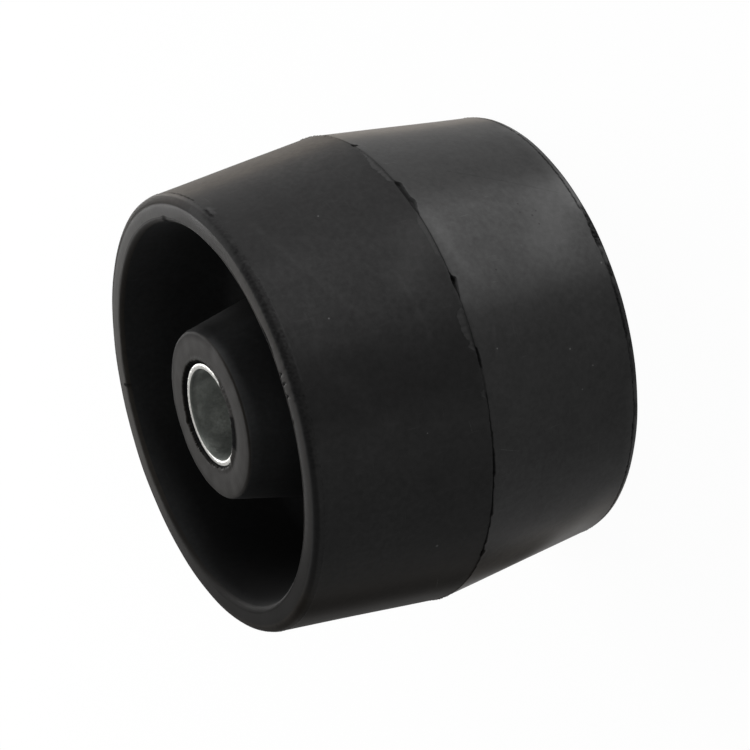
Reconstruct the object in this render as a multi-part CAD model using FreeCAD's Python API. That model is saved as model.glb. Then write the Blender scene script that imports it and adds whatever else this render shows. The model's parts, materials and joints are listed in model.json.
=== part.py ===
import FreeCAD, Part
import math
import os

# Boat trailer roller: a moulded rubber body bonded on a steel sleeve that turns on an axle.
# The body is widest at its mould parting line and tapers to a flat rim at each end.
# Behind each rim lies a deep ring-shaped pocket, round a hub that grips the sleeve.
# A web at mid-width joins the rim wall to the hub. Both ends are alike.
# Millimetres. +Z runs along the bore, and the origin is the middle of the bore.

# Rubber body
overall_diameter = 120.0
end_diameter = 110.2
overall_width = 90.0
rim_wall = 6.5
rim_outer_round = 2.0
mouth_chamfer = 0.6
web_thickness = 28.0
pocket_draft_deg = 6.3
pocket_corner_round = 4.0
hub_wall = 8.2
hub_draft_deg = 13.5
hub_edge_round = 1.2
hub_root_round = 5.0
hub_face_setback = 0.7
seat_mouth_chamfer = 1.3

# Moulding flash: a fin on the parting line, and a bead where each end plate of the mould met the taper
parting_fin_height = 0.4
parting_fin_root = 1.0
parting_fin_tip = 0.3
end_bead_height = 0.2
end_bead_width = 0.6

# Steel sleeve
sleeve_bore_diameter = 23.0
sleeve_wall = 1.5
sleeve_end_setback = 0.4
sleeve_edge_chamfer = 0.35

# Where two roundings share a line, each takes at most this share of it
rounding_share = 0.45

# Lines of an outline shorter than this are left out
shortest_line = 0.001

# Worked out from the sizes above
half_width = overall_width / 2
largest_radius = overall_diameter / 2
end_radius = end_diameter / 2
mouth_radius = end_radius - rim_wall
web_face = web_thickness / 2
hub_face = half_width - hub_face_setback
seat_radius = sleeve_bore_diameter / 2 + sleeve_wall
hub_face_radius = seat_radius + hub_wall
sleeve_end = hub_face - sleeve_end_setback
taper_angle = math.atan((largest_radius - end_radius) / half_width)


def taper_radius(height):
    """Radius of the tapered running face at a height above mid-width."""
    return largest_radius - height * math.tan(taper_angle)


def longest_reach(corner, neighbour):
    """How far a corner's rounding may reach towards a neighbouring corner."""
    run = math.dist(corner[:2], neighbour[:2])
    return rounding_share * run if neighbour[2] > 0 else run


def rounded_corner(before, corner, after):
    """Start, middle and end of the tangent arc that rounds a corner of an outline."""
    point, point_before, point_after = (FreeCAD.Vector(c[0], 0, c[1]) for c in (corner, before, after))
    to_before = (point_before - point).normalize()
    to_after = (point_after - point).normalize()
    half_angle = to_before.getAngle(to_after) / 2
    full_reach = corner[2] / math.tan(half_angle)
    reach = min(full_reach, longest_reach(corner, before), longest_reach(corner, after))
    radius = reach * math.tan(half_angle)
    to_middle = (to_before + to_after).normalize()
    middle = point + to_middle * (radius / math.sin(half_angle) - radius)
    return point + to_before * reach, middle, point + to_after * reach


def outline(corners):
    """Closed wire in the XZ plane through corners given as radius, height and rounding."""
    arcs = []
    for index, corner in enumerate(corners):
        arcs.append(rounded_corner(corners[index - 1], corner, corners[(index + 1) % len(corners)]))
    edges = []
    for index, (start, middle, end) in enumerate(arcs):
        last_end = arcs[index - 1][2]
        if last_end.distanceToPoint(start) > shortest_line:
            edges.append(Part.LineSegment(last_end, start).toShape())
        if start.distanceToPoint(end) > shortest_line:
            edges.append(Part.Arc(start, middle, end).toShape())
    return Part.Wire(edges)


def turned(upper_corners):
    """Solid of revolution from the corners of its upper half, mirrored for the lower half."""
    lower_corners = [(radius, -height, rounding) for radius, height, rounding in reversed(upper_corners)]
    section = Part.Face(outline(upper_corners + lower_corners))
    return section.revolve(FreeCAD.Vector(0, 0, 0), FreeCAD.Vector(0, 0, 1), 360)


def parting_fin():
    """Upper half of the flash fin where the two halves of the mould met, at mid-width."""
    return [
        (largest_radius + parting_fin_height, parting_fin_tip / 2, 0),
        (taper_radius(parting_fin_root / 2), parting_fin_root / 2, 0),
    ]


def end_bead():
    """Flash bead where the rim's rounding runs out on the taper."""
    rounding_reach = rim_outer_round * math.tan(math.pi / 4 - taper_angle / 2)
    upper = half_width - rounding_reach * math.cos(taper_angle)
    middle = upper - end_bead_width / 2
    lower = upper - end_bead_width
    return [
        (taper_radius(lower), lower, 0),
        (taper_radius(middle) + end_bead_height, middle, 0),
        (taper_radius(upper), upper, 0),
    ]


def rim():
    """Flat rim, with a rounded outer corner and a chamfer at the pocket's mouth."""
    return [
        (end_radius, half_width, rim_outer_round),
        (mouth_radius + mouth_chamfer, half_width, 0),
        (mouth_radius, half_width - mouth_chamfer, 0),
    ]


def pocket_and_hub():
    """Drafted pocket down to the web, and the drafted hub back up to its face and the sleeve's seat."""
    pocket_depth = half_width - mouth_chamfer - web_face
    hub_height = hub_face - web_face
    floor_outer_radius = mouth_radius - pocket_depth * math.tan(math.radians(pocket_draft_deg))
    hub_root_radius = hub_face_radius + hub_height * math.tan(math.radians(hub_draft_deg))
    return [
        (floor_outer_radius, web_face, pocket_corner_round),
        (hub_root_radius, web_face, hub_root_round),
        (hub_face_radius, hub_face, hub_edge_round),
        (seat_radius + seat_mouth_chamfer, hub_face, 0),
        (seat_radius, hub_face - seat_mouth_chamfer, 0),
    ]


def rubber_roller():
    """The whole moulded rubber body."""
    return turned(parting_fin() + end_bead() + rim() + pocket_and_hub())


def steel_sleeve():
    """Steel tube that fills the rubber's seat and ends just inside the hub's faces."""
    bore_radius = seat_radius - sleeve_wall
    return turned([
        (seat_radius, sleeve_end - sleeve_edge_chamfer, 0),
        (seat_radius - sleeve_edge_chamfer, sleeve_end, 0),
        (bore_radius + sleeve_edge_chamfer, sleeve_end, 0),
        (bore_radius, sleeve_end - sleeve_edge_chamfer, 0),
    ])


os.makedirs("parts", exist_ok=True)
rubber_roller().exportStep("parts/rubber_roller.step")
steel_sleeve().exportStep("parts/steel_sleeve.step")
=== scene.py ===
import json
import math

import bpy
import numpy as np
from mathutils import Matrix, Vector

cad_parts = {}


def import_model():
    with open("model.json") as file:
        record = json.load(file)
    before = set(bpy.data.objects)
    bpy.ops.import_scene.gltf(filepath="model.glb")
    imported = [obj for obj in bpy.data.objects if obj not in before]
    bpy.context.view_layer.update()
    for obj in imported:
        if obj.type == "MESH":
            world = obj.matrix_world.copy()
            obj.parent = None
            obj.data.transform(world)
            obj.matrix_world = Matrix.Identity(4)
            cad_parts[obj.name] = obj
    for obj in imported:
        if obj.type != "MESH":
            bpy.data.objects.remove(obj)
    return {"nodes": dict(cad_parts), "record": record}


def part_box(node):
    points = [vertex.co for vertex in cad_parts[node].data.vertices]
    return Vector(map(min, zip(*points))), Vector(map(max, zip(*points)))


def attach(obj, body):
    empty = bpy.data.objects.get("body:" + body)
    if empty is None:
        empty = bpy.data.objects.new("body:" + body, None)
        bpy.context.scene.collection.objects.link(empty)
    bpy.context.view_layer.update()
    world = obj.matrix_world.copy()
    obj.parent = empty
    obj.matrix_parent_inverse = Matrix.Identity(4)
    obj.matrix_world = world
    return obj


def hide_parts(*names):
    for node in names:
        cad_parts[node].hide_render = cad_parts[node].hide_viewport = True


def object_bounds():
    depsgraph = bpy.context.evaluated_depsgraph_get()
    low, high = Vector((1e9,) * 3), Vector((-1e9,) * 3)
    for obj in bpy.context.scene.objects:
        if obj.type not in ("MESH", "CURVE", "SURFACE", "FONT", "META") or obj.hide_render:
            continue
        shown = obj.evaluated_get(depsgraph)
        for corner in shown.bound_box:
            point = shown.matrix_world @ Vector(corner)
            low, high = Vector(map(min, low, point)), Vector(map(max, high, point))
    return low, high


# Boat trailer roller: a moulded black rubber body on a zinc-plated steel sleeve.
# The roller stands on one rim. +Z is its axis, and the origin is the middle of its bore.

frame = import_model()
cad_low, cad_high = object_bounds()

# Lengths are in millimetres, which meshes and materials turn into metres
MM = 0.001

# Sizes taken from the frame
body_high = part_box("rubber_roller")[1]
sleeve_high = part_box("steel_sleeve")[1]
half_width = body_high.z / MM
sleeve_end = sleeve_high.z / MM
seat_radius = sleeve_high.x / MM
bore_radius = next(m["dims"]["r_mm"] for m in frame["record"]["mounts"] if m["name"] == "axle_bore")

# Sizes of the moulded body that its box doesn't give
FIN_HEIGHT = 0.4
BEAD_HALF_WIDTH = 0.3
END_RADIUS = 55.1
RIM_WALL = 6.5
RIM_ROUND = 2.0
MOUTH_CHAMFER = 0.6
WEB_FACE = 14.0
WALL_DRAFT = math.radians(6.3)
WALL_CORNER_ROUND = 4.0
HUB_SETBACK = 0.7
HUB_FACE_RADIUS = 21.2
HUB_DRAFT = math.radians(13.5)
HUB_EDGE_ROUND = 1.2
HUB_ROOT_ROUND = 5.0
SEAT_CHAMFER = 1.3

largest_radius = body_high.x / MM - FIN_HEIGHT
taper = math.atan((largest_radius - END_RADIUS) / half_width)
hub_face = half_width - HUB_SETBACK
mouth_radius = END_RADIUS - RIM_WALL
chamfer_top = mouth_radius + MOUTH_CHAMFER
round_reach = RIM_ROUND * math.tan(math.pi / 4 - taper / 2)
bead_height = half_width - round_reach * math.cos(taper) - BEAD_HALF_WIDTH

# How far the rims and the mouth's edge lie inside the solid's, so that no wave passes its box
END_SINK = 0.08
MOUTH_SINK = 0.09

# Points round the body in a ring: most where flash and torn edges need them
FINE = 1200
MIDDLE = 600
COARSE = 300


def taper_radius(height):
    """Radius of the tapered outer face at a height above or below mid-width."""
    return largest_radius - abs(height) * math.tan(taper)


def put_in_scene(name, data):
    """A new object with that data, linked to the scene."""
    thing = bpy.data.objects.new(name, data)
    bpy.context.scene.collection.objects.link(thing)
    return thing


def ripple(lowest, highest, seed):
    """A smooth random curve round the roller, mostly between -1 and 1, from a range of counts of waves."""
    random = np.random.RandomState(seed)
    counts = np.arange(lowest, highest + 1)
    phases = random.uniform(0, 2 * math.pi, len(counts))
    sizes = random.uniform(0.4, 1, len(counts))
    spread = math.sqrt(2 * (sizes ** 2).sum())

    def curve(angles):
        waves = np.cos(np.outer(counts, angles) + phases[:, None])
        return (sizes[:, None] * waves).sum(0) / spread

    return curve


def window(angles, start, end, blur):
    """One between two angles in degrees and nought outside them, with soft ends."""
    middle = math.radians((start + end) / 2)
    half = math.radians((end - start) / 2)
    away = np.abs((angles - middle + math.pi) % (2 * math.pi) - math.pi)
    return np.clip((half - away) / math.radians(blur) + 0.5, 0, 1)


def hump(distance, reach):
    """One at no distance, falling smoothly to nought at the reach."""
    share = np.clip(np.abs(distance) / reach, 0, 1)
    return (1 - share ** 2) ** 2


# A form works out how a ring's points leave the plain section. It gives the shift outward and upward,
# the lift along the skin's normal, and two layers: a dark one for torn flash and for painted shade in
# grooves, gaps and on dulled edges, which on the sleeve marks the bright cut end, and a light one for
# pared flash and a painted highlight on torn lips.

# Unevenness of the moulded skin: height, turn with the radius, and waves as count, lean and start
SKIN_HEIGHT = 0.016
SKIN_TURN = 0.07
SKIN_WAVES = [(3, 0.031, 0.4), (5, -0.05, 1.9), (8, 0.09, 3.3), (13, 0.14, 5.2), (21, -0.21, 0.8)]


def skin_lift(angles, radius, height):
    """The slight unevenness of the moulded skin."""
    return sum(SKIN_HEIGHT * np.cos(count * angles + lean * height + SKIN_TURN * radius + start)
               for count, lean, start in SKIN_WAVES)


def plain(angles, radius, height):
    """Moulded skin with no wear."""
    nought = np.zeros_like(angles)
    return nought, nought, skin_lift(angles, radius, height), nought, nought


def end_face(angles, radius, height):
    """Flat rim, kept just inside its true height."""
    outward, rise, lift, torn_shade_and_cut, pared_and_highlight = plain(angles, radius, height)
    return outward, rise, lift - END_SINK, torn_shade_and_cut, pared_and_highlight


# Painted shade on the hub's edge all round, what one side adds to that, and how far down it goes
HUB_PAINTED_SHADE = 0.12
HUB_SIDE_PAINTED_SHADE = 0.4
HUB_PAINTED_SHADE_WIDTH = 1.5


def hub_edge(angles, radius, height):
    """Side of the hub, with painted shade where it meets the face that dims its highlight, most on one side.
    """
    outward, rise, lift, nought, pared_and_highlight = plain(angles, radius, height)
    # Painted shade, dimming the highlight on the hub's rounded edge
    hub_painted_shade = HUB_PAINTED_SHADE + HUB_SIDE_PAINTED_SHADE * window(angles, -35, 150, 30)
    near_face = np.clip((abs(height) - hub_face + HUB_PAINTED_SHADE_WIDTH) / 0.4, 0, 1)
    return outward, rise, lift, hub_painted_shade * near_face, pared_and_highlight


# Half of the parting line, which the other half repeats.
# The torn groove: angle in degrees and height of its lower edge
GROOVE_FOOT = [
    (200, -0.1), (204, -0.35), (204.3, -0.1), (208, -0.3), (208.3, 0), (210.5, -0.3), (212, -0.2),
    (213.4, -0.8), (214.4, -0.8), (214.8, -0.4), (216.8, -0.1), (217.1, -0.45), (219, -0.35), (222.5, -0.1),
    (222.8, -0.35), (226, 0), (226.4, -0.55), (227, -0.5), (230.3, -0.2), (234, 0), (234.4, -0.25),
    (237, 0), (237.5, -0.4), (238.3, -0.6), (239, -0.4), (243, -0.4), (245, -0.15), (248, -0.35),
    (249, -0.05), (255, -0.1), (263.5, -0.3), (265, -0.5), (267.8, -0.3), (268.2, 0.1), (279.3, 0),
    (280.5, -0.3), (282, -0.7), (283.5, -1), (284.5, -1), (285, -0.3), (286, 0), (301.7, -0.1),
    (303, -0.5), (304.5, -1), (305, -1.3), (306, -1.4), (307.3, -0.8), (309, -0.85), (310, -0.95),
    (312.2, -1.2), (313, -0.3), (314, 0.1), (331.2, 0), (331.6, -0.9), (332.2, -1.3), (332.7, -0.5),
    (333.6, -0.1), (344.5, 0), (345.2, -0.7), (346.8, -0.6), (347.3, 0), (350, 0),
]
# How dark and deep the groove is: angle, share; its darkness is torn flash and painted shade of the groove
GROOVE_STRENGTH = [
    (198, 0.85), (244, 0.85), (246, 0.75), (257, 0.7), (258, 0.3), (263, 0.3), (263.6, 0.9), (268, 0.9),
    (268.6, 0.45), (279, 0.45), (279.8, 0.9), (285.5, 0.9), (286.5, 0.6), (301, 0.6), (302.3, 0.75),
    (312.8, 0.75), (313.8, 0.4), (325, 0.3), (326, 0.15), (328.6, 0.15), (329.1, 0.7), (329.6, 0.15),
    (331.2, 0.2), (331.6, 0.9), (332.8, 0.8), (333.6, 0.5), (343.8, 0.4), (344.8, 0.8), (349, 0.8),
]
# The bands above the groove where flash was pared off: angle, height of the upper edge
PARED_EDGE = [
    (256.6, 0.4), (257, 1.2), (258, 1.4), (258.5, 0.4), (267.4, 0.4), (267.6, 0.8), (268.7, 2),
    (269.2, 1), (270.3, 1.6), (272, 2.2), (276, 2.2), (277, 1.9), (277.3, 0.4), (290.3, 0.4), (291, 1.2),
    (297, 1.2), (299, 1.5), (301, 1), (301.6, 0.4), (313.2, 0.4), (314, 1.2), (316, 1.5), (319, 1.7),
    (320.5, 2), (322, 1.6), (325, 0.8), (328, 0.65), (329, 0.4),
]
HALF_TURN = 180

fin_slow = ripple(3, 26, 1)
fin_fast = ripple(60, 420, 2)
seam_slow = ripple(10, 60, 3)
seam_fast = ripple(60, 300, 4)
pared_fast = ripple(90, 420, 7)


# Depth of the groove and of its tears, height of its upper edge, and what a tear adds to that
GROOVE_DEPTH = 0.13
TEAR_DEPTH = 1.0
GROOVE_TOP = 0.28
TEAR_TOP = 0.2
# A tear begins where the groove's foot is below this height, and is whole this much lower
TEAR_START = -0.3
TEAR_FULL = 0.6
# The pared band shows where its upper edge passes this height, and has a least width and a depth
PARED_START = 0.5
BAND_LEAST = 0.45
PARED_DEPTH = 0.06
# Height of the torn fin, and its most
CREST_HEIGHT = 0.1
CREST_MOST = 0.34


def along_seam(angles, knots):
    """Value at each angle of a list of knots that repeats every half turn."""
    places, values = zip(*knots)
    return np.interp(np.degrees(angles), places, values, period=HALF_TURN)


def seam(span, share, shift, hollow, dark, crest, light):
    """Form of a ring on the parting line.

    The span is "groove", the torn groove from foot to upper edge, or "band", the pared band above that.
    The ring lies at a share of the span and a shift beyond it. Then come its shares of the span's depth,
    of its darkness, which is torn flash and painted shade, of the fin's height, and of lightness: a pared
    band's, and on a torn lip a painted highlight."""

    def form(angles, radius, height):
        nought, nought, lift, nought, nought = plain(angles, radius, height)
        slow = seam_slow(angles)
        fast = seam_fast(angles)
        strength = along_seam(angles, GROOVE_STRENGTH)
        foot = along_seam(angles, GROOVE_FOOT) + 0.05 * fast
        tear = np.clip(TEAR_START - foot, 0, TEAR_FULL) / TEAR_FULL
        top = GROOVE_TOP + TEAR_TOP * tear + 0.05 * slow + 0.04 * fast
        band_top = along_seam(angles, PARED_EDGE) + 0.12 * pared_fast(angles)
        pared_and_highlight = np.clip((band_top - PARED_START) / 0.3, 0, 1)
        band_top = np.maximum(band_top, top + BAND_LEAST)
        fin = CREST_HEIGHT + 0.06 * fin_slow(angles) + 0.12 * fin_fast(angles)
        fin = np.clip(fin, 0, CREST_MOST) * (1 - 0.7 * tear)
        if span == "groove":
            place = foot + (top - foot) * share + shift
            depth = strength * (GROOVE_DEPTH + TEAR_DEPTH * tear)
            wear_and_painted_light = light * tear
        else:
            place = top + (band_top - top) * share + shift
            depth = PARED_DEPTH * pared_and_highlight
            wear_and_painted_light = light * pared_and_highlight * (0.75 + 0.25 * pared_fast(angles))
        # The groove's darkness is torn flash and painted shade of the groove
        torn_shade_and_cut = dark * strength * np.clip(1.0 + 0.2 * slow, 0, 1)
        outward = taper_radius(place) - radius
        return outward, place - height, lift - hollow * depth + crest * fin, torn_shade_and_cut, np.clip(wear_and_painted_light, 0, 1)

    return form


# Scars behind each rim: first and last angle, lowest and highest height, depth, darkness, lightness
SCARS = {
    1: [(267, 304, 43.15, 45, 0.04, 0.26, 0), (300, 326, 43.2, 44.5, 0.02, 0.16, 0),
        (250, 268, 43.2, 44.8, 0.03, 0.16, 0), (271.5, 281, 42.7, 43.05, -0.06, 0, 0.35),
        (283, 296.5, 42.7, 43.05, -0.06, 0, 0.35), (334, 348, 42.55, 42.95, 0.04, 0.7, 0),
        (323.7, 327.8, 41.4, 42.4, -0.16, 0, 0.8), (322.8, 327.4, 42.7, 43.3, 0.08, 0.6, 0),
        (311, 333, 44.3, 45.2, 0, 0, 0.35), (300, 304, 43, 43.5, -0.08, 0, 0.5),
        (311.3, 312.9, 43.2, 43.9, -0.08, 0, 0.4), (308.3, 310.6, 43.3, 44.4, 0.06, 0.35, 0),
        (239.6, 241.1, 43.4, 43.9, -0.06, 0, 0.6), (58, 86, 43.1, 44.9, 0.03, 0.16, 0),
        (64, 80, 42.7, 43.05, -0.06, 0, 0.4), (130, 138, 42.5, 43, 0.08, 0.35, 0)],
    -1: [(283.6, 287.6, 42.45, 44.1, 0.34, 0.85, 0), (285.6, 290.2, 42.65, 44.2, 0.3, 0.8, 0),
         (288.4, 292.6, 42.85, 44.2, 0.26, 0.75, 0), (290.8, 295.4, 43.05, 44.2, 0.2, 0.65, 0),
         (275.2, 278.7, 42.9, 43.8, 0.2, 0.8, 0), (222, 262, 42.65, 42.95, 0.05, 0.5, 0),
         (200, 226, 42.6, 42.95, 0.05, 0.35, 0), (272, 284, 42.6, 42.95, 0.05, 0.5, 0),
         (294, 316, 42.55, 43, 0.08, 0.75, 0), (259.5, 273.5, 42.5, 43.2, 0.1, 0.75, 0),
         (324.5, 327, 42.6, 43.4, -0.05, 0, 1), (316, 345, 42.6, 42.95, 0.06, 0.6, 0),
         (256.9, 258.8, 43.1, 43.7, 0.12, 0.6, 0), (238.4, 243.2, 42.95, 43.3, 0.1, 0.75, 0),
         (231.5, 237.6, 42.4, 42.9, 0.08, 0.65, 0), (248, 256, 43, 43.5, 0.05, 0.4, 0),
         (280.2, 282.4, 42.7, 43.3, 0.08, 0.5, 0),
         (206, 224, 42.5, 43.2, 0.05, 0.4, 0), (128, 139, 42.6, 43.9, 0.26, 0.9, 0),
         (40, 66, 42.7, 43.2, 0.06, 0.5, 0)],
}
bead_ripples = {1: (ripple(5, 40, 11), ripple(80, 420, 12), ripple(40, 220, 13)),
                -1: (ripple(5, 40, 14), ripple(80, 420, 15), ripple(40, 220, 16))}
# Height of the smooth bead and of its ragged parts, and their darkness
BEAD_RISE = 0.02
BEAD_RAGGED_RISE = 0.11
BEAD_DARKNESS = 0.35
# Height and reach of the crumbs beside the bead
CRUMB_HEIGHT = 0.025
CRUMB_REACH = 1.6
# Run over which the skin sinks from the bead to the rim
ROUNDING_RUN = 1.8
# Softness and wander of a scar's edges
SCAR_BLUR = 0.18
SCAR_WANDER = 0.08


def bead(angles, radius, height):
    """Crumbly bead of flash where the rim's rounding meets the taper, and the scarred rounding above it."""
    outward, rise, lift, nought, nought = plain(angles, radius, height)
    end = 1 if height > 0 else -1
    slow, fast, edge = (curve(angles) for curve in bead_ripples[end])
    crumb = bead_ripples[end][1](angles + 9 * abs(height))
    ragged = np.clip(0.4 + 0.25 * slow + 0.4 * fast, 0, 1)
    rib = hump(abs(height) - bead_height, BEAD_HALF_WIDTH)
    near = hump(abs(height) - bead_height - BEAD_HALF_WIDTH, CRUMB_REACH)
    onto_face = np.clip((abs(height) - bead_height) / ROUNDING_RUN, 0, 1)
    lift = lift + rib * (BEAD_RISE + BEAD_RAGGED_RISE * ragged) + CRUMB_HEIGHT * near * crumb
    lift = lift - END_SINK * onto_face
    torn_shade_and_cut = rib * BEAD_DARKNESS * np.clip(ragged - 0.3 + 0.5 * crumb, 0, 1)
    wear_and_painted_light = nought
    for first, last, low, high, depth, dark, light in SCARS[end]:
        inside = window(angles, first, last, min((last - first) / 2, 1.2))
        over = np.clip((abs(height) - low - SCAR_WANDER * edge) / SCAR_BLUR + 0.5, 0, 1)
        under = np.clip((high + SCAR_WANDER * edge - abs(height)) / SCAR_BLUR + 0.5, 0, 1)
        scar = inside * over * under
        lift = lift - scar * (depth + 0.05 * crumb * (dark > 0))
        torn_shade_and_cut = np.maximum(torn_shade_and_cut, scar * dark * np.clip(1.0 + (1.2 - dark) * crumb, 0, 2))
        wear_and_painted_light = np.maximum(wear_and_painted_light, scar * light * np.clip(0.8 + 0.4 * crumb, 0, 1))
    return outward, rise, lift, np.clip(torn_shade_and_cut, 0, 1), np.clip(wear_and_painted_light, 0, 1)


# Notches torn in the pocket's mouth: angle, half width in degrees, and reach
NOTCHES = {
    1: [
        (285, 8, 0.55), (275, 0.7, 1.4), (272.4, 0.6, 1.8), (269, 0.7, 1.4), (262, 1.2, 0.4),
        (350, 3, 0.4), (74, 0.8, 1),
    ],
    -1: [(45, 6, 0.5), (50, 0.8, 1.4)],
}
mouth_ripples = {1: (ripple(4, 30, 21), ripple(80, 400, 22)), -1: (ripple(4, 30, 23), ripple(80, 400, 24))}


# Fine line round the mouth: its distance from the edge, how far it moves outward on one side, its depth
LINE_INSET = 0.3
LINE_OFF_CENTRE = 0.7
LINE_DEPTH = 0.1
# Painted shade on the mouth's edge all round, and what one side adds to that, dimming its glints
MOUTH_PAINTED_SHADE = 0.1
MOUTH_SIDE_PAINTED_SHADE = 0.25


def degrees_from(angles, place):
    """Degrees from a place round the roller, by the shorter way."""
    return (np.degrees(angles) - place + 180) % 360 - 180


def mouth(shift, dark):
    """Form of a ring beside the fine line where the mould's core met its end plate, a little off centre.

    The line runs round the pocket's mouth, and its torn notches are dark down to the mouth's edge."""

    def form(angles, radius, height):
        outward, rise, lift, nought, nought = end_face(angles, radius, height)
        end = 1 if height > 0 else -1
        slow, fast = (curve(angles) for curve in mouth_ripples[end])
        notch = nought
        for place, half, reach in NOTCHES[end]:
            notch = np.maximum(notch, reach * hump(degrees_from(angles, place), half))
        line = chamfer_top + LINE_INSET + LINE_OFF_CENTRE * window(angles, 0, 185, 40)
        line = line + 0.06 * slow + notch
        # The line's darkness is painted shade of a groove; on one side the groove is almost flat, so only
        # the painted shade shows
        line_painted_shade = dark * (1 - 0.5 * window(angles, 100, 225, 40))
        torn_shade_and_cut = np.maximum(line_painted_shade * np.clip(0.8 + 0.3 * slow, 0, 1), np.clip(notch / 0.5, 0, 1) * (shift <= 0))
        depth = (LINE_DEPTH + 0.05 * fast) * (1 - 0.9 * window(angles, -25, 225, 20))
        return line + shift - radius, rise, lift - dark * depth, torn_shade_and_cut, nought

    return form


def mouth_edge(angles, radius, height):
    """Edge of the pocket's mouth, darkened by painted shade, and dark under the notches."""
    outward, rise, lift, nought, nought = plain(angles, radius, height)
    end = 1 if height > 0 else -1
    slow, fast = (curve(angles) for curve in mouth_ripples[end])
    torn_shade_and_cut = nought
    for place, half, _ in NOTCHES[end]:
        torn_shade_and_cut = np.maximum(torn_shade_and_cut, hump(degrees_from(angles, place), half))
    # Painted shade on the chamfer, more on one side
    wear_and_painted_light = MOUTH_PAINTED_SHADE + MOUTH_SIDE_PAINTED_SHADE * window(angles, -10, 135, 40)
    lift = 0.6 * lift + 0.01 * slow + 0.01 * fast
    return outward, rise - MOUTH_SINK * end, lift, np.maximum(torn_shade_and_cut, wear_and_painted_light), nought


# Radius of the rubber's lip, where the sleeve's end is open and where flash covers it, and by angle
OPEN_LIP = 14.8
COVERED_LIP = 12.1
SEAT_LIPS = {
    1: [
        (0, 13.9), (20, 14.5), (45, 14.8), (75, 14.9), (84, 15), (90, 15.7), (95, 15), (116, 15),
        (132, 14.5), (156, 13.7), (175, 13.5), (190, 13.3), (200, 13.1), (207, 12.3), (225, 12),
        (250, 12), (262, 12.3), (280, 12.5), (296, 12.5), (302, 13.4), (320, 13.8),
    ],
    -1: [(0, 14), (60, 14.9), (110, 14.4), (160, 13.3), (190, 12.9), (230, 13.7),
         (290, 14.6), (330, 14.2)],
}
# Blots of painted shade on the flash that covers the sleeve's end, where it dips: first and last angle,
# strength
PAINTED_SHADE_BLOTS = {1: [(224, 262, 1.0), (272, 274, 0.6), (277.5, 279.5, 0.6), (289, 291, 0.6)], -1: [(150, 165, 0.8)]}
seat_ripples = {1: (ripple(16, 60, 31), ripple(60, 200, 32)), -1: (ripple(16, 60, 33), ripple(60, 200, 34))}


def seat(covered_radius, covered_height):
    """Form of a ring near the sleeve's seat, from its place where flash covers the sleeve's end.

    The gap at the sleeve's end and the blots beside it are darkened with painted shade.
    """

    def form(angles, radius, height):
        end = 1 if height > 0 else -1
        knots, lips = zip(*SEAT_LIPS[end])
        lip = np.interp(np.degrees(angles), knots, lips, period=360)
        slow, fast = (curve(angles) for curve in seat_ripples[end])
        cover = (OPEN_LIP - lip) / (OPEN_LIP - COVERED_LIP) + 0.05 * slow + 0.08 * fast
        outward = cover * (covered_radius - radius)
        rise = end * cover * (covered_height - abs(height))
        # Painted shade in the gap between the rubber's lip and the sleeve's end, and on the blots
        inside = np.clip((OPEN_LIP - 0.05 - radius) / 0.2, 0, 1)
        painted_blots = [strength * window(angles, first, last, 3) for first, last, strength in PAINTED_SHADE_BLOTS[end]]
        painted_blot = np.max(painted_blots, axis=0) * np.clip((OPEN_LIP + 0.9 - radius) / 0.6, 0, 1)
        depth = 0.5 + 0.5 * hump(radius - OPEN_LIP + 0.15, 0.4)
        torn_shade_and_cut = np.clip(inside * depth * (0.95 - 0.75 * np.clip(cover, 0, 1)) + painted_blot, 0, 1)
        nought = np.zeros_like(angles)
        return outward, rise, nought, torn_shade_and_cut, nought

    return form


def bonded(angles, radius, height):
    """Face bonded on the sleeve."""
    nought = np.zeros_like(angles)
    return nought, nought, nought, nought + 1, nought


def tangent_arc(before, corner, after, rounding, steps):
    """Points along the arc that rounds a corner of the section."""
    before, corner, after = (np.array(p[:2], float) for p in (before, corner, after))
    to_before = (before - corner) / np.linalg.norm(before - corner)
    to_after = (after - corner) / np.linalg.norm(after - corner)
    half_angle = math.acos(np.clip(to_before @ to_after, -1, 1)) / 2
    middle = to_before + to_after
    centre = corner + middle / np.linalg.norm(middle) * rounding / math.sin(half_angle)
    start = corner + to_before * rounding / math.tan(half_angle) - centre
    end = corner + to_after * rounding / math.tan(half_angle) - centre
    turn = math.atan2(start[0] * end[1] - start[1] * end[0], start @ end)
    points = []
    for step in range(steps + 1):
        angle = turn * step / steps
        spin = np.array([[math.cos(angle), -math.sin(angle)], [math.sin(angle), math.cos(angle)]])
        points.append(tuple(centre + spin @ start))
    return points


def section_rings(corners):
    """Rings (radius, height, points round, form) along a section.

    A corner is (radius, height, rounding, arc steps, line steps, points round, form). The line steps divide
    the straight run from the corner before, and the last two values hold for that run and the corner."""
    rings = []
    last = None
    for index, (radius, height, rounding, arc_steps, line_steps, around, form) in enumerate(corners):
        if rounding:
            points = tangent_arc(corners[index - 1], corners[index], corners[index + 1], rounding, arc_steps)
        else:
            points = [(radius, height)]
        if last:
            for step in range(1, line_steps):
                share = step / line_steps
                rings.append((last[0] + (points[0][0] - last[0]) * share,
                              last[1] + (points[0][1] - last[1]) * share, around, form))
        rings += [(r, h, around, form) for r, h in points]
        last = points[-1]
    return rings


def mirrored(rings):
    """The same rings below mid-width, in the order that carries on round the section."""
    return [(radius, -height, around, form) for radius, height, around, form in reversed(rings)]


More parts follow.
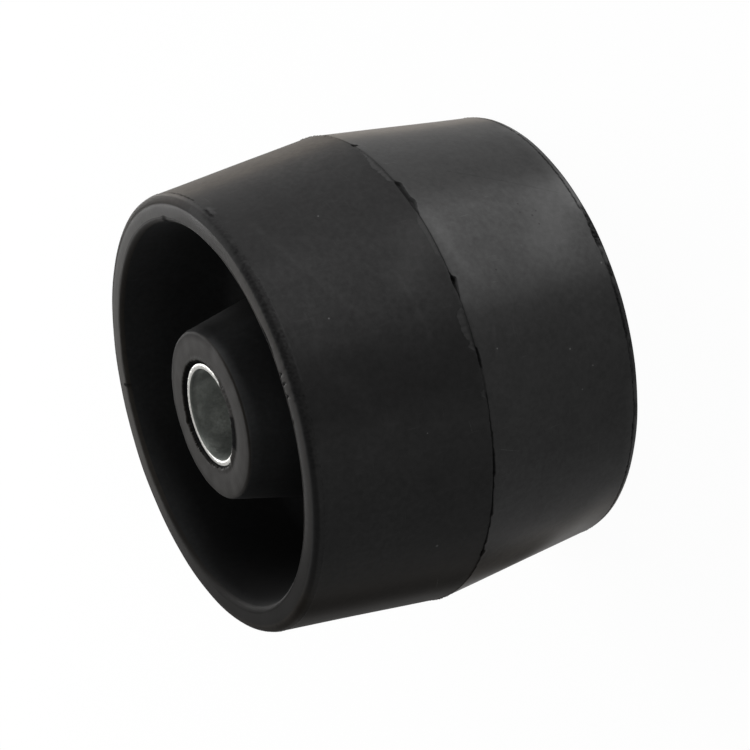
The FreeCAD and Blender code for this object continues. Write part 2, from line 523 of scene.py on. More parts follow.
# Rings of the parting line, upwards, each as the values that its form takes; the lightness of the
# third ring is a painted highlight on the torn lip below the groove
GROOVE_RINGS = [
    (0, -1.1, 0, 0, 0, 0), (0, -0.4, 0, 0, 0, 0), (0, -0.07, -0.1, 0, 0, 0.35), (0, 0, 0, 0.35, 0, 0),
    (0.13, 0, 1, 1, 0, 0), (0.5, 0, 1, 1, 0, 0), (0.87, 0, 1, 1, 0, 0), (1, 0, 0, 0.35, 1, 0),
    (1, 0.12, 0, 0, 0.2, 0),
]
BAND_RINGS = [
    (0.4, 0, 1, 0, 0, 1), (0.92, 0, 1, 0, 0, 1), (1, 0, 0.6, 0, 0, 0.6), (1, 0.1, 0, 0, 0, 0),
    (1, 0.5, 0, 0, 0, 0),
]
# The parting line's rings start at even heights up to this one
SEAM_REACH = 2.2
# Heights of the bead's rings beside its middle
BEAD_SHIFTS = [-1.6, -1.0, -0.65, -0.4, -0.2, -0.05, 0.1]


# Rings of the sleeve's seat, inwards: radius and height where it is open, then where flash covers it
SEAT_RINGS = [
    (OPEN_LIP + 1.2, hub_face, 15.0, hub_face - 0.04), (OPEN_LIP + 0.7, hub_face, 14.2, hub_face - 0.18),
    (OPEN_LIP + 0.3, hub_face, 13.4, hub_face - 0.15), (OPEN_LIP, hub_face - 0.05, 12.6, hub_face + 0.18),
    (OPEN_LIP - 0.2, hub_face - 0.25, 12.3, hub_face + 0.1),
    (OPEN_LIP - 0.5, hub_face - 0.5, 12.4, sleeve_end + 0.12),
    (seat_radius + 0.9, hub_face - 0.75, 12.8, sleeve_end + 0.04),
    (seat_radius + 0.4, hub_face - 1.0, seat_radius, sleeve_end + 0.02),
]


def bare_ring(radius, height, around, form, line_steps=1):
    """A corner of the section that has no rounding."""
    return radius, height, 0, 0, line_steps, around, form


def upper_section():
    """Rings from just above the parting line, over the upper end and down the seat to the sleeve's side."""
    wall_depth = half_width - MOUTH_CHAMFER - WEB_FACE
    floor_radius = mouth_radius - wall_depth * math.tan(WALL_DRAFT)
    root_radius = HUB_FACE_RADIUS + (hub_face - WEB_FACE) * math.tan(HUB_DRAFT)
    chamfer_foot = half_width - MOUTH_CHAMFER
    below_bead = bead_height - 2.4
    corners = [bare_ring(taper_radius(3), 3, MIDDLE, plain)]
    corners += [bare_ring(taper_radius(below_bead), below_bead, MIDDLE, plain, 6)]
    corners += [bare_ring(taper_radius(bead_height + s), bead_height + s, FINE, bead) for s in BEAD_SHIFTS]
    corners += [
        (END_RADIUS, half_width, RIM_ROUND, 6, 1, FINE, bead),
        bare_ring(chamfer_top + 2.6, half_width, MIDDLE, end_face),
        bare_ring(chamfer_top + 0.5, half_width, FINE, mouth(0.2, 0)),
        bare_ring(chamfer_top + 0.3, half_width, FINE, mouth(0, 0.7)),
        bare_ring(chamfer_top + 0.2, half_width, FINE, mouth(-0.12, 0.3)),
        bare_ring(chamfer_top, half_width, MIDDLE, mouth_edge),
        bare_ring(mouth_radius, chamfer_foot, MIDDLE, mouth_edge),
        bare_ring(mouth_radius - 0.8 * math.tan(WALL_DRAFT), chamfer_foot - 0.8, MIDDLE, plain),
        (floor_radius, WEB_FACE, WALL_CORNER_ROUND, 5, 5, COARSE, plain),
        (root_radius, WEB_FACE, HUB_ROOT_ROUND, 5, 3, COARSE, plain),
        (HUB_FACE_RADIUS, hub_face, HUB_EDGE_ROUND, 5, 4, COARSE, hub_edge),
        bare_ring(OPEN_LIP + 2.4, hub_face, COARSE, plain, 2),
    ]
    corners += [bare_ring(radius, height, MIDDLE, seat(*covered)) for radius, height, *covered in SEAT_RINGS]
    corners += [
        bare_ring(seat_radius, hub_face - SEAT_CHAMFER, MIDDLE, bonded),
        bare_ring(seat_radius, hub_face - 3.0, COARSE, bonded),
    ]
    return section_rings(corners)


def stitch(first, first_count, second, second_count):
    """Faces between two rings of points, one of which may have a whole multiple of the other's points."""
    if first_count < second_count:
        return [tuple(reversed(face)) for face in stitch(second, second_count, first, first_count)]
    times = first_count // second_count
    faces = []
    for sector in range(second_count):
        near = second + sector
        far = second + (sector + 1) % second_count
        points = [first + (sector * times + step) % first_count for step in range(times + 1)]
        if times == 1:
            faces.append((points[0], points[1], far, near))
            continue
        middle = times // 2
        faces += [(points[step], points[step + 1], near) for step in range(middle)]
        faces.append((points[middle], far, near))
        faces += [(points[step], points[step + 1], far) for step in range(middle, times)]
    return faces


def skin(name, rings):
    """Closed mesh through rings, with their forms' layers of wear and painted light and shade."""
    count = len(rings)
    places = np.array([ring[:2] for ring in rings])
    starts = np.cumsum([0] + [ring[2] for ring in rings])
    points = []
    wear = []
    for index, (radius, height, around, form) in enumerate(rings):
        along = places[(index + 1) % count] - places[index - 1]
        normal = np.array([along[1], -along[0]]) / np.linalg.norm(along)
        angles = 2 * math.pi * np.arange(around) / around
        outward, rise, lift, torn_shade_and_cut, pared_and_highlight = form(angles, radius, height)
        radii = radius + outward + lift * normal[0]
        heights = height + rise + lift * normal[1]
        points.append(np.stack([radii * np.cos(angles), radii * np.sin(angles), heights], axis=1))
        wear.append(np.stack([torn_shade_and_cut, pared_and_highlight + np.zeros_like(torn_shade_and_cut)]))
    faces = []
    for index in range(count):
        after = (index + 1) % count
        faces += stitch(int(starts[index]), rings[index][2], int(starts[after]), rings[after][2])
    mesh = bpy.data.meshes.new(name)
    mesh.from_pydata((np.concatenate(points) * MM).tolist(), [], faces)
    mesh.polygons.foreach_set("use_smooth", [True] * len(mesh.polygons))
    for layer, values in zip(("torn_shade_and_cut", "pared_and_highlight"), np.concatenate(wear, axis=1)):
        mesh.attributes.new(layer, "FLOAT", "POINT").data.foreach_set("value", values.astype(np.float32))
    mesh.validate()
    return put_in_scene(name, mesh)


def rubber_body():
    """The moulded body: up from the parting line, over the upper end, through the seat and back below."""
    upper = upper_section()
    forms = [seam("groove", *ring) for ring in GROOVE_RINGS] + [seam("band", *ring) for ring in BAND_RINGS]
    heights = np.linspace(-SEAM_REACH, SEAM_REACH, len(forms))
    parting = [(taper_radius(height), height, FINE, form) for height, form in zip(heights, forms)]
    return skin("rubber_body", parting + upper + mirrored(upper))


# The sleeve's cut end: width of its bright flat ring, depth of the bevel inside it, and the burr
CREST_WIDTH = 1.08
BEVEL_DEPTH = 0.3
burr = ripple(6, 90, 41)
tube_wave = ripple(2, 9, 42)


def tube_side(angles, radius, height):
    """Drawn side of the sleeve, in the bore or in the rubber."""
    nought = np.zeros_like(angles)
    lift = -0.012 * (1 + tube_wave(angles + height * 0.004)) if radius < seat_radius - 0.5 else nought
    return nought, nought, lift, nought, nought


def tube_end(angles, radius, height):
    """Sawn end of the sleeve, bright and not quite flat."""
    nought = np.zeros_like(angles)
    return nought, nought, -0.02 - 0.018 * burr(angles), nought + 1, nought


def sleeve_tube():
    """The steel sleeve, up its outside, over the cut end, down its bore and over the other end."""
    crest = seat_radius - 0.2
    rings = section_rings([bare_ring(*place, COARSE, form, steps) for *place, form, steps in (
        (seat_radius - 0.02, 0.001, tube_side, 1),
        (seat_radius - 0.02, sleeve_end - 0.3, tube_side, 2),
        (seat_radius - 0.03, sleeve_end - 0.08, tube_end, 1),
        (crest, sleeve_end, tube_end, 1),
        (crest - CREST_WIDTH, sleeve_end - 0.03, tube_end, 2),
        (crest - CREST_WIDTH - 0.05, sleeve_end - 0.08, tube_side, 1),
        (bore_radius + 0.06, sleeve_end - BEVEL_DEPTH, tube_side, 1),
        (bore_radius, sleeve_end - BEVEL_DEPTH - 0.2, tube_side, 1),
        (bore_radius, sleeve_end - 2.0, tube_side, 2),
        (bore_radius, 0.001, tube_side, 8),
    )])
    return skin("sleeve_tube", rings + mirrored(rings))


class Nodes:
    """Short calls for building the node tree of a material or a world."""

    def __init__(self, owner):
        owner.use_nodes = True
        self.owner = owner
        self.tree = owner.node_tree
        self.place = None
        self.skin = None

    def first(self, kind):
        """The tree's first node of a kind."""
        return next(node for node in self.tree.nodes if node.type == kind)

    def put(self, node, inputs):
        """Links outputs of nodes to a node's inputs, or sets the inputs to constants."""
        for key, value in inputs.items():
            if isinstance(value, bpy.types.NodeSocket):
                self.tree.links.new(value, node.inputs[key])
            else:
                node.inputs[key].default_value = value

    def add(self, kind, output=0, inputs=None, **settings):
        """An output of a new node with those inputs and settings."""
        node = self.tree.nodes.new(kind)
        for key, value in settings.items():
            setattr(node, key, value)
        self.put(node, inputs or {})
        return node.outputs[output]

    def math(self, operation, first, second=0.0, clamp=False):
        return self.add("ShaderNodeMath", 0, {0: first, 1: second}, operation=operation, use_clamp=clamp)

    def plus(self, first, second, clamp=False):
        return self.math("ADD", first, second, clamp)

    def minus(self, first, second):
        return self.math("SUBTRACT", first, second)

    def times(self, first, second):
        return self.math("MULTIPLY", first, second)

    def larger(self, first, second):
        return self.math("MAXIMUM", first, second)

    def around_middle(self, value, share):
        """A noise's distance from its middle, times a share."""
        return self.times(self.minus(value, 0.5), share)

    def vector(self, operation, first, second=(0, 0, 0), output="Vector"):
        return self.add("ShaderNodeVectorMath", output, {0: first, 1: second}, operation=operation)

    def stretched(self, scale, place=None):
        return self.add("ShaderNodeMapping", 0, {"Vector": place or self.place, "Scale": scale})

    def noise(self, scale, detail=3.0, roughness=0.5, place=None):
        inputs = {"Vector": place or self.place, "Scale": scale, "Detail": detail, "Roughness": roughness}
        return self.add("ShaderNodeTexNoise", "Fac", inputs)

    def layer(self, name):
        return self.add("ShaderNodeAttribute", "Fac", attribute_name=name)

    def ramp(self, value, low, high, to_low=0.0, to_high=1.0):
        """A smooth step between a low and a high input."""
        inputs = {"Value": value, "From Min": low, "From Max": high, "To Min": to_low, "To Max": to_high}
        return self.add("ShaderNodeMapRange", 0, inputs, interpolation_type="SMOOTHSTEP")

    def mix(self, share, first, second):
        """A colour between two colours."""
        inputs = {"Factor": share, "A": first, "B": second}
        return self.add("ShaderNodeMix", "Result", inputs, data_type="RGBA")

    def blend(self, share, first, second):
        """A number between two numbers."""
        return self.add("ShaderNodeMix", 0, {"Factor": share, "A": first, "B": second}, data_type="FLOAT")

    def bump(self, relief, strength, distance):
        return self.add("ShaderNodeBump", 0, {"Height": relief, "Strength": strength, "Distance": distance})


def grey(level):
    """A neutral grey of that linear level."""
    return (level, level, level, 1.0)


# Radius at which the tapers are unrolled to a flat skin, on which the marks lie
MEAN_RADIUS = 57.5


def unrolled(angle, height):
    """Place of a point of the taper on the unrolled skin, in metres, from degrees and millimetres."""
    return Vector((math.radians(angle) * MEAN_RADIUS, height, 0)) * MM


# Marks on the taper, as angle in degrees, height and radius
SPECKS = [
    (326.2, -42.9, 0.7), (310.7, 21.8, 0.25), (283.9, 31.7, 0.27), (220.3, 13.2, 0.42), (261.3, -25.8, 0.3),
    (255.7, -31.5, 0.25), (266.4, -5.6, 0.25), (250.8, -27.5, 0.22), (279.4, -41.7, 0.35),
    (252, 16, 0.2), (40, 20, 0.35), (95, -18, 0.3), (151, 26, 0.28),
]
PITS = [
    (283.9, -12.4, 0.3), (299.5, -27, 0.3), (297, -26.2, 0.25), (295.5, -29, 0.35),
    (296.5, -30.6, 0.25), (292.8, -29.6, 0.3), (70, 22, 0.3),
]

# Lines of marks: their points, then the half width
SCRATCHES = [
    ([(243.6, -1.9), (241.4, -7.4)], 0.2), ([(252.5, 5.4), (249.5, 4.9)], 0.16),
    ([(60, 12), (66, 10)], 0.18), ([(120, -15), (124, -9)], 0.16),
    ([(200, 8), (206, 9.5)], 0.16),
]
SMEARS = [
    ([(271.5, -6.3), (265.2, -5)], 0.8),
    ([(317, 37), (303.5, 34), (292.7, 29.6), (281, 23)], 1.5),
    ([(298, 14.4), (288.5, 11.9), (273, 10)], 1.1),
    ([(291, 34.7), (284, 35.4), (274.6, 37.6)], 0.9), ([(268, 33), (257, 25)], 4.5),
    ([(302, -2.5), (291, -3.5), (281, -7)], 3.2), ([(30, 30), (44, 18)], 2),
    ([(140, 12), (120, 25)], 2), ([(80, -30), (98, -22)], 2.5),
]

# Broad patches on the tapers: the one between 112 and 122 degrees is dust, the rest are painted highlight
# and painted shade; points, half width, and what they add to light and roughness
DUST_AND_PAINTED_LIGHT = [
    ([(288, -30), (301, -40)], 11, 0.35, 0), ([(297, 2), (288, 10)], 8, 0.3, 0),
    ([(203, -34), (211, -40)], 11, 0.5, -0.08),
    ([(112, -30), (122, -38)], 10, 0.35, 0),
    ([(207, -1), (200, -16)], 13, -0.4, 0.28), ([(202, 4), (203, 41)], 9, -0.2, 0.16),
    ([(296, -43), (330, -43.5)], 4.5, 0.5, 0), ([(219, -43.5), (247, -43.5)], 4, 0.45, 0),
]
# A line darkened with painted shade along a crease: points, then the half width
CREASE_PAINTED_SHADE = [([(314, -14.8), (300, -40.5)], 0.35)]


def line_mask(nodes, lines):
    """One along lines on the unrolled skin, falling to nought at their half width."""
    total = 0.0
    for points, half in lines:
        for start, end in zip(points, points[1:]):
            first = unrolled(*start)
            run = unrolled(*end) - first
            from_first = nodes.vector("SUBTRACT", nodes.skin, first)
            share = nodes.vector("DOT_PRODUCT", from_first, run, "Value")
            share = nodes.times(share, 1 / run.length_squared)
            share = nodes.larger(nodes.math("MINIMUM", share, 1.0), 0.0)
            inputs = {0: run, "Scale": share}
            scaled = nodes.add("ShaderNodeVectorMath", "Vector", inputs, operation="SCALE")
            away = nodes.vector("DISTANCE", from_first, scaled, "Value")
            total = nodes.larger(total, nodes.ramp(away, half * MM, 0.0))
    return total


# A spot's soft edge reaches this many times its radius
SPOT_REACH = 1.2


def spot_mask(nodes, spots):
    """One on each round spot of the unrolled skin."""
    total = 0.0
    for angle, height, radius in spots:
        away = nodes.vector("DISTANCE", nodes.skin, unrolled(angle, height), "Value")
        total = nodes.larger(total, nodes.ramp(away, radius * SPOT_REACH * MM, 0.0))
    return total


def unroll(nodes):
    """Gives the nodes their place on the unrolled skin, and makes the mask of each region."""
    split = nodes.tree.nodes.new("ShaderNodeSeparateXYZ")
    nodes.put(split, {0: nodes.place})
    x, y, z = split.outputs
    behind = nodes.math("ARCTAN2", nodes.times(y, -1.0), nodes.times(x, -1.0))
    around = nodes.times(nodes.plus(behind, math.pi), MEAN_RADIUS * MM)
    radius = nodes.math("SQRT", nodes.plus(nodes.times(x, x), nodes.times(y, y)))
    nodes.skin = nodes.add("ShaderNodeCombineXYZ", 0, {"X": around, "Y": z, "Z": 0.0})
    height = nodes.math("ABSOLUTE", z)
    # Each mask is nought at the first and one at the second radius or height, in metres
    return {
        "taper": nodes.ramp(radius, 0.0528, 0.0534),
        "rounding": nodes.ramp(height, 0.0437, 0.0443),
        "face": nodes.ramp(height, 0.0438, 0.0441),
        "rear": nodes.ramp(z, 0.0009, -0.0009),
        "hub": nodes.ramp(radius, 0.032, 0.028),
        "near_mouth": nodes.ramp(height, 0.029, 0.043),
        "near_edge": nodes.ramp(height, 0.0405, 0.0435),
    }


# A float curve runs from nought to one, so it holds its values divided by this
CURVE_TOP = 2.0


def by_angle(nodes, knots):
    """Value at each angle round the roller, smooth between knots of angle and value, the first at nought."""
    turn = 2 * math.pi * MEAN_RADIUS * MM
    around = nodes.math("DIVIDE", nodes.vector("DOT_PRODUCT", nodes.skin, (1, 0, 0), "Value"), turn)
    node = nodes.tree.nodes.new("ShaderNodeFloatCurve")
    nodes.put(node, {"Value": around})
    curve = node.mapping.curves[0]
    for angle, value in knots[1:]:
        curve.points.new(angle / 360, value / CURVE_TOP)
    for end in (0, -1):
        curve.points[end].location.y = knots[0][1] / CURVE_TOP
    for point in curve.points:
        point.handle_type = "AUTO_CLAMPED"
    node.mapping.update()
    return nodes.times(node.outputs[0], CURVE_TOP)


def by_region(nodes, masks, front, rear, rounding, rim, hub, pocket):
    """A value for each region: front and rear taper, rounding behind the rims, rims, hub faces, pockets."""
    tapers = nodes.blend(masks["rear"], front, rear)
    tapers = nodes.blend(masks["rounding"], tapers, rounding)
    faces = nodes.blend(masks["hub"], rim, hub)
    ends = nodes.blend(masks["face"], pocket, faces)
    return nodes.blend(masks["taper"], ends, tapers)


# Plain linear level of each region of the body
FRONT_LEVEL = 0.019
REAR_LEVEL = 0.036
RIM_LEVEL = 0.010
ROUNDING_LEVEL = 0.014
HUB_LEVEL = 0.009
POCKET_LEVEL = 0.0125

# Light and shade painted round the roller on each region, as angle and share of the plain level: lighter
# at lit edges and highlights, darker where shade falls, and on the tapers a random tone from 0 to 180
# degrees
FRONT_PAINTED_SHADING = [
    (0, 1.1), (60, 0.9), (120, 1.1), (180, 0.9), (203, 0.45), (213, 0.8), (222, 1.2), (248, 1.3),
    (258, 1), (270, 0.7), (279, 0.98), (293, 1.1), (304, 0.87), (318, 0.74), (330, 0.9), (338, 1.3),
    (345, 1.7),
]
REAR_PAINTED_SHADING = [
    (0, 1.1), (60, 0.9), (120, 1.15), (180, 0.9), (204, 0.9), (216, 0.9), (230, 1.1), (240, 1),
    (256, 0.86), (268, 0.74), (276, 1), (285, 1.5), (297, 1.55), (306, 1.1), (318, 0.74), (330, 0.8),
    (338, 1.1), (345, 1.6),
]
RIM_PAINTED_SHADING = [
    (0, 1.35), (30, 1.8), (60, 2.45), (100, 2.1), (130, 0.75), (180, 0.3), (220, 0.4), (270, 0.8),
    (300, 1.3), (335, 1.2),
]
WALL_PAINTED_SHADING = [
    (0, 1.5), (45, 1.3), (75, 1.1), (95, 0.8), (120, 0.7), (138, 0.5), (155, 0.25), (170, 0.12),
    (195, 0.12), (215, 0.7), (270, 1), (330, 1.3),
]
HUB_PAINTED_SHADING = [
    (0, 0.15), (90, 0.3), (165, 0.6), (195, 0.45), (210, 0.55), (225, 0.75), (240, 0.9), (255, 1),
    (285, 0.85), (315, 1), (330, 0.55), (345, 0.2),
]
RIM_ROUGHNESS = [
    (0, 0.39), (60, 0.4), (100, 0.44), (130, 0.6), (160, 0.74), (210, 0.74), (240, 0.62), (270, 0.61),
    (300, 0.54), (318, 0.46), (335, 0.39),
]
# Warm tint of the tapers round the roller: a painted warm sheen at the lit edges near 204 and 341 degrees,
# milder between
PAINTED_WARM_SHEEN = [
    (0, 0.16), (60, 0.1), (120, 0.1), (180, 0.12), (204, 0.16), (216, 0.03), (230, 0), (320, 0),
    (333, 0.03), (341, 0.13),
]
# Warmth of the rims, the hub faces and the pockets
RIM_WARMTH = 0.12
HUB_WARMTH = 0.16
POCKET_WARMTH = -0.02

# Roughness of each region: that of the rims goes with the angle
FRONT_ROUGHNESS = 0.66
REAR_ROUGHNESS = 0.44
ROUNDING_ROUGHNESS = 0.8
HUB_ROUGHNESS = 0.44
POCKET_ROUGHNESS = 0.8
CLOUD_ROUGHNESS = 0.12
TORN_ROUGHNESS = 0.5

# Painted light in the pockets: lighter near the mouth than deep inside, the hub's side more so, most at its
# edge
WALL_MOUTH_PAINTED_LIGHT = 0.5
HUB_MOUTH_PAINTED_LIGHT = 0.9
HUB_EDGE_PAINTED_LIGHT = 0.9

# What each kind of unevenness adds to the light, as a share
BLOOM_SHARE = 0.18
SMEAR_SHARE = 0.2
CLOUD_SHARE = 0.45
PEBBLE_SHARE = 0.55
# The crease's share is painted shade
CREASE_PAINTED_SHADE_SHARE = 0.15
SCUFF_SHARE = 0.3

# Levels of pared, marked and torn rubber, the torn level also serving as painted shade, and how far bands,
# scratches and marks cover the skin
PARED_LEVEL = 0.042
MARK_LEVEL = 0.20
TORN_AND_SHADE_LEVEL = 0.0012
PARED_COVER = 0.6
SCRATCH_COVER = 0.25
MARK_COVER = 0.5

# The skin's bump, and its strength and height in metres
PEBBLE_RELIEF = 0.5
GRAIN_RELIEF = 0.25
SKIN_BUMP = (0.6, 0.00006)
RUBBER_SPECULAR = 0.05


def scuffs(nodes):
    """Faint hairlines across and along the tapers, in scattered patches."""
    total = 0.0
    for scale in ((1500, 130, 1), (110, 1700, 1)):
        hairs = nodes.ramp(nodes.noise(1.0, 2, 0.5, nodes.stretched(scale, nodes.skin)), 0.66, 0.74)
        total = nodes.larger(total, hairs)
    where = nodes.ramp(nodes.noise(95, 2, 0.5, nodes.skin), 0.45, 0.62)
    return nodes.times(total, where)


def plain_level(nodes, masks):
    """Light level of each region of the body before its marks, with painted light and shade."""
    # Painted light and shade round the roller on the tapers and the rims
    front = nodes.times(by_angle(nodes, FRONT_PAINTED_SHADING), FRONT_LEVEL)
    rear = nodes.times(by_angle(nodes, REAR_PAINTED_SHADING), REAR_LEVEL)
    rim = nodes.times(by_angle(nodes, RIM_PAINTED_SHADING), RIM_LEVEL)
    # Painted light near the pockets' mouths and at the hub's edge, against the shade deep inside
    mouth_painted_light = nodes.plus(nodes.times(masks["hub"], HUB_MOUTH_PAINTED_LIGHT), WALL_MOUTH_PAINTED_LIGHT)
    mouth_painted_light = nodes.times(masks["near_mouth"], mouth_painted_light)
    hub_edge_painted_light = nodes.times(nodes.times(masks["near_edge"], masks["hub"]), HUB_EDGE_PAINTED_LIGHT)
    mouth_painted_light = nodes.plus(mouth_painted_light, hub_edge_painted_light)
    pocket = nodes.times(nodes.plus(mouth_painted_light, 1.0), POCKET_LEVEL)
    # Painted shade on the pocket walls, and painted light and shade on the hub's side, by angle
    wall = nodes.blend(masks["hub"], by_angle(nodes, WALL_PAINTED_SHADING), by_angle(nodes, HUB_PAINTED_SHADING))
    pocket = nodes.times(pocket, wall)
    return by_region(nodes, masks, front, rear, ROUNDING_LEVEL, rim, HUB_LEVEL, pocket)


def with_dust_and_painted_light(nodes, masks, lighter):
    """The light plus the patches of dust and of painted light and shade, and what they add to roughness."""
    rougher = 0.0
    for line, half, share, roughening in DUST_AND_PAINTED_LIGHT:
        side = masks["rear"] if line[0][1] < 0 else nodes.minus(1.0, masks["rear"])
        patch = line_mask(nodes, [(line, half)])
        patch = nodes.times(patch, nodes.times(side, masks["taper"]))
        lighter = nodes.plus(lighter, nodes.times(patch, share))
        rougher = nodes.plus(rougher, nodes.times(patch, roughening))
    return lighter, rougher


def warmed(nodes, masks, level):
    """The colour of a level, with the warmth of its region; on the tapers it is a painted warm sheen."""
    painted_warm_sheen = by_angle(nodes, PAINTED_WARM_SHEEN)
    tapers = (painted_warm_sheen, painted_warm_sheen, painted_warm_sheen)
    warmth = by_region(nodes, masks, *tapers, RIM_WARMTH, HUB_WARMTH, POCKET_WARMTH)
    red = nodes.times(level, nodes.plus(1.0, warmth))
    blue = nodes.times(level, nodes.minus(1.0, warmth))
    return nodes.add("ShaderNodeCombineColor", 0, {"Red": red, "Green": level, "Blue": blue})


def rubber_material():
    """Dull black rubber: a darker upper half, a lighter lower half, smears, specks and torn flash.

    Light and shade are painted into its colour round the roller, in the pockets and in grooves.
    """
    nodes = Nodes(bpy.data.materials.new("black_rubber"))
    nodes.place = nodes.add("ShaderNodeTexCoord", "Object")
    torn_shade_and_cut = nodes.layer("torn_shade_and_cut")
    pared_and_highlight = nodes.layer("pared_and_highlight")
    masks = unroll(nodes)
    cloud = nodes.noise(26, 4, 0.6)
    fine_cloud = nodes.noise(160, 4, 0.65)
    pebble = nodes.noise(700, 3, 0.6)
    grain = nodes.noise(4200, 2, 0.5)
    smear = nodes.times(line_mask(nodes, SMEARS), nodes.ramp(fine_cloud, 0.3, 0.7, 0.35, 1.0))
    crease_shade = line_mask(nodes, CREASE_PAINTED_SHADE)
    scratch = nodes.times(line_mask(nodes, SCRATCHES), nodes.ramp(nodes.noise(2600, 2), 0.35, 0.6))
    bloom = nodes.times(nodes.ramp(cloud, 0.4, 0.7), nodes.ramp(pebble, 0.3, 0.75, 0.3, 1.0))
    level = plain_level(nodes, masks)
    lighter = nodes.plus(nodes.times(bloom, BLOOM_SHARE), nodes.times(smear, SMEAR_SHARE))
    lighter = nodes.plus(lighter, nodes.around_middle(fine_cloud, CLOUD_SHARE))
    lighter = nodes.plus(lighter, nodes.around_middle(pebble, PEBBLE_SHARE))
    # The crease's line is darkened with painted shade
    lighter = nodes.minus(lighter, nodes.times(crease_shade, CREASE_PAINTED_SHADE_SHARE))
    lighter, rougher = with_dust_and_painted_light(nodes, masks, lighter)
    lighter = nodes.plus(lighter, nodes.times(scuffs(nodes), SCUFF_SHARE))
    level = nodes.times(level, nodes.plus(lighter, 1.0))
    base = warmed(nodes, masks, level)
    base = nodes.mix(nodes.times(pared_and_highlight, PARED_COVER), base, grey(PARED_LEVEL))
    marks = nodes.larger(nodes.times(scratch, SCRATCH_COVER), spot_mask(nodes, SPECKS))
    marks = nodes.times(marks, nodes.times(masks["taper"], MARK_COVER))
    base = nodes.mix(marks, base, grey(MARK_LEVEL))
    pits = nodes.times(nodes.times(spot_mask(nodes, PITS), masks["taper"]), MARK_COVER)
    # Torn flash and painted shade darken the colour here
    base = nodes.mix(nodes.larger(torn_shade_and_cut, pits), base, grey(TORN_AND_SHADE_LEVEL))
    roughness = by_region(nodes, masks, FRONT_ROUGHNESS, REAR_ROUGHNESS, ROUNDING_ROUGHNESS,
                          by_angle(nodes, RIM_ROUGHNESS), HUB_ROUGHNESS, POCKET_ROUGHNESS)
    roughness = nodes.plus(roughness, rougher)
    roughness = nodes.plus(roughness, nodes.around_middle(cloud, CLOUD_ROUGHNESS))
    roughness = nodes.plus(roughness, nodes.times(torn_shade_and_cut, TORN_ROUGHNESS), clamp=True)
    relief = nodes.plus(nodes.times(pebble, PEBBLE_RELIEF), nodes.times(grain, GRAIN_RELIEF))
    nodes.put(nodes.first("BSDF_PRINCIPLED"), {
        "Base Color": base, "Roughness": roughness, "Normal": nodes.bump(relief, *SKIN_BUMP),
        "Specular IOR Level": RUBBER_SPECULAR,
    })
    return nodes.owner


# Colours of the bore's zinc, dull, bright and with painted shade near its ends, and of the cut steel
ZINC_DULL = (0.17, 0.18, 0.168, 1)
ZINC_BRIGHT = (0.30, 0.315, 0.295, 1)
ZINC_PAINTED_SHADE = (0.05, 0.054, 0.05, 1)
CUT_STEEL = (0.36, 0.355, 0.335, 1)
# Share of painted shade on the zinc near the sleeve's ends, and the heights between which it comes, in
# metres
END_PAINTED_SHADE = 0.8
END_PAINTED_SHADE_SPAN = (0.0415, 0.0437)
# Roughness of plating and of the cut, each from its lowest to its highest
ZINC_ROUGHNESS = (0.55, 0.75)
CUT_ROUGHNESS = (0.24, 0.4)
DRAWN_RELIEF = 0.6
ZINC_GRAIN_RELIEF = 0.4
ZINC_BUMP = (0.5, 0.00004)


def sleeve_material():
    """Dull zinc plating in the bore with painted shade near its ends, and a bright sawn end."""
    nodes = Nodes(bpy.data.materials.new("zinc_steel"))
    nodes.place = nodes.add("ShaderNodeTexCoord", "Object")
    cut = nodes.layer("torn_shade_and_cut")
    patch = nodes.noise(190, 5, 0.6)
    grain = nodes.noise(1500, 3, 0.6)
    drawn = nodes.noise(500, 3, 0.5, nodes.stretched((1.0, 1.0, 0.06)))
    zinc = nodes.mix(nodes.ramp(patch, 0.35, 0.7), ZINC_DULL, ZINC_BRIGHT)
    height = nodes.vector("ABSOLUTE", nodes.vector("MULTIPLY", nodes.place, (0, 0, 1)))
    height = nodes.vector("LENGTH", height, output="Value")
    # Painted shade on the zinc near the sleeve's ends
    zinc = nodes.mix(nodes.ramp(height, *END_PAINTED_SHADE_SPAN, 0.0, END_PAINTED_SHADE), zinc, ZINC_PAINTED_SHADE)
    base = nodes.mix(cut, zinc, CUT_STEEL)
    plated = nodes.ramp(grain, 0.3, 0.7, *ZINC_ROUGHNESS)
    roughness = nodes.blend(cut, plated, nodes.ramp(grain, 0.3, 0.7, *CUT_ROUGHNESS))
    relief = nodes.plus(nodes.times(drawn, DRAWN_RELIEF), nodes.times(grain, ZINC_GRAIN_RELIEF))
    nodes.put(nodes.first("BSDF_PRINCIPLED"), {
        "Base Color": base, "Metallic": 1.0, "Roughness": roughness,
        "Normal": nodes.bump(relief, *ZINC_BUMP),
    })
    return nodes.owner


def seen_directly(nodes):
    """One for camera, glossy and transmission rays, nought for the rest."""
    rays = nodes.tree.nodes.new("ShaderNodeLightPath").outputs
    total = rays["Is Camera Ray"]
    for name in ("Is Glossy Ray", "Is Transmission Ray"):
        total = nodes.larger(total, rays[name])
    return total


FLOOR_SIZE = 8.0
# Share of the floor's own light, which lifts it to white
FLOOR_WHITE = 0.97
FLOOR_GREY = 0.8
FLOOR_ROUGHNESS = 0.9


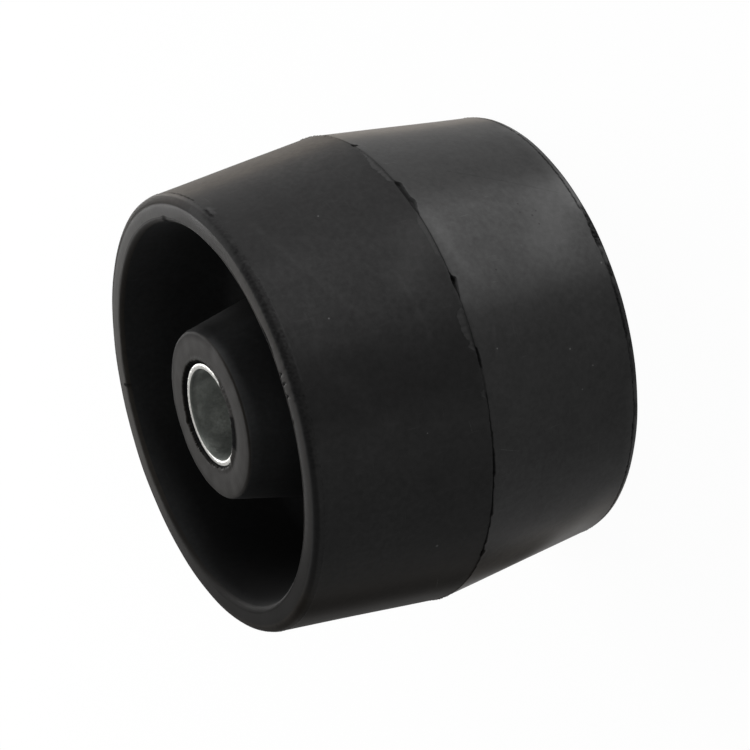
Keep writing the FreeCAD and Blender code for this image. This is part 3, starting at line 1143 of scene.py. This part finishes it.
def floor():
    """Plain floor under the lower rim; its own light lifts it to white and keeps a faint shadow."""
    mesh = bpy.data.meshes.new("floor")
    half = FLOOR_SIZE / 2
    corners = [(-half, -half), (half, -half), (half, half), (-half, half)]
    mesh.from_pydata([(x, y, cad_low.z) for x, y in corners], [], [(0, 1, 2, 3)])
    plane = put_in_scene("floor", mesh)
    nodes = Nodes(bpy.data.materials.new("floor_white"))
    shader = nodes.first("BSDF_PRINCIPLED")
    inputs = {"Base Color": grey(FLOOR_GREY), "Roughness": FLOOR_ROUGHNESS, "Specular IOR Level": 0.0}
    nodes.put(shader, inputs)
    glow = nodes.add("ShaderNodeEmission", 0, {"Strength": 1.0})
    share = nodes.times(seen_directly(nodes), FLOOR_WHITE)
    mixed = nodes.add("ShaderNodeMixShader", 0, {"Fac": share, 1: shader.outputs[0], 2: glow})
    nodes.put(nodes.first("OUTPUT_MATERIAL"), {"Surface": mixed})
    mesh.materials.append(nodes.owner)


# Strength of the white surroundings as a light on the object
WORLD_LIGHT = 0.2


def world():
    """White to the eye and in reflections, and a plain dim light on the object."""
    studio = bpy.data.worlds.new("studio")
    bpy.context.scene.world = studio
    nodes = Nodes(studio)
    inputs = {"Value": seen_directly(nodes), "To Min": WORLD_LIGHT, "To Max": 1.0}
    strength = nodes.add("ShaderNodeMapRange", "Result", inputs)
    nodes.put(nodes.first("BACKGROUND"), {"Color": grey(1.0), "Strength": strength})


# Softboxes: name, azimuth and elevation in degrees, distance, size, and light on the roller
LAMPS = [
    ("back_box", 55, 3.5, 1.3, (0.9, 0.2), 2.8),
    ("high_box", 58, 26, 1.3, (0.9, 0.5), 3.3),
    ("side_box", -22, 3.5, 1.3, (0.9, 0.2), 3.5),
    ("front_box", -90, 60, 1.3, (0.8, 0.8), 0.42),
]


def lamps():
    """Plain soft studio light."""
    for name, azimuth, elevation, distance, (width, tall), strength in LAMPS:
        light = bpy.data.lights.new(name, "AREA")
        light.shape = "RECTANGLE"
        light.size = width
        light.size_y = tall
        light.energy = strength * math.pi * distance ** 2
        lamp = put_in_scene(name, light)
        turn = math.radians(azimuth)
        rise = math.radians(elevation)
        across = math.cos(rise)
        direction = Vector((math.cos(turn) * across, math.sin(turn) * across, math.sin(rise)))
        lamp.location = direction * distance
        lamp.rotation_mode = "QUATERNION"
        lamp.rotation_quaternion = direction.to_track_quat("Z", "Y")
        lamp.visible_camera = False


# The photograph looks along +Y from above, with the picture turned so that the roller's axis points left
CAMERA_PLACE = (-0.00174, -0.63266, 0.30084)
CAMERA_ELEVATION = math.radians(25.563)
CAMERA_ROLL = math.radians(-106.166)
CAMERA_LENS = 134.01
CAMERA_SENSOR = 36.0


def camera():
    """The photograph's view: a long lens from above one end."""
    data = bpy.data.cameras.new("camera")
    data.sensor_width = CAMERA_SENSOR
    data.lens = CAMERA_LENS
    data.clip_start = 0.01
    data.clip_end = 20
    seen = put_in_scene("camera", data)
    tilt = Matrix.Rotation(math.pi / 2 - CAMERA_ELEVATION, 4, "X")
    roll = Matrix.Rotation(CAMERA_ROLL, 4, "Z")
    seen.matrix_world = Matrix.Translation(CAMERA_PLACE) @ tilt @ roll
    bpy.context.scene.camera = seen


def dress():
    """Makes the pieces that stand for the two nodes, and gives the nodes the same materials."""
    rubber = rubber_material()
    body = rubber_body()
    body.data.materials.append(rubber)
    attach(body, "root")
    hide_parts("rubber_roller")
    zinc = sleeve_material()
    tube = sleeve_tube()
    tube.data.materials.append(zinc)
    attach(tube, "root")
    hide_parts("steel_sleeve")
    for node, material in (("rubber_roller", rubber), ("steel_sleeve", zinc)):
        slots = frame["nodes"][node].data.materials
        slots.clear()
        slots.append(material)


dress()
floor()
world()
lamps()
camera()
bpy.context.scene.view_settings.view_transform = "Standard"
